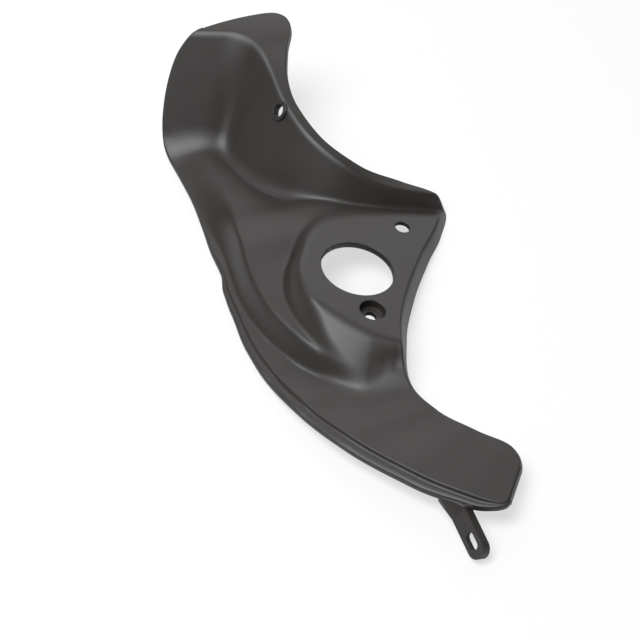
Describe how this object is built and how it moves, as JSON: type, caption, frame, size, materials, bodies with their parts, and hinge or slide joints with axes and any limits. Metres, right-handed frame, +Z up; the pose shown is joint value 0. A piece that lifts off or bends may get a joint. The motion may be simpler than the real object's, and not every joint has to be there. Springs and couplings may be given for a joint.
{
  "type": "motorbike side panel",
  "caption": "Moulded matt black side panel of a motorbike: thin curved shell with a scoop, a raised shelf with a round opening, an overlap rim and a slotted tab.",
  "frame": {"origin": "middle of the footprint on the surface that the panel lies on", "axes": "+Y along the panel from the slotted tab to the scoop end, +Z up from the surface, through the shown face; +X towards the corner with the plain clip hole"},
  "size_m": [0.2063, 0.3615, 0.0661],
  "materials": {
    "matt_black_plastic": "moulded, fine matt grain, black right through"
  },
  "bodies": {
    "root": {"side_panel": "matt_black_plastic"}
  },
  "joints": []
}
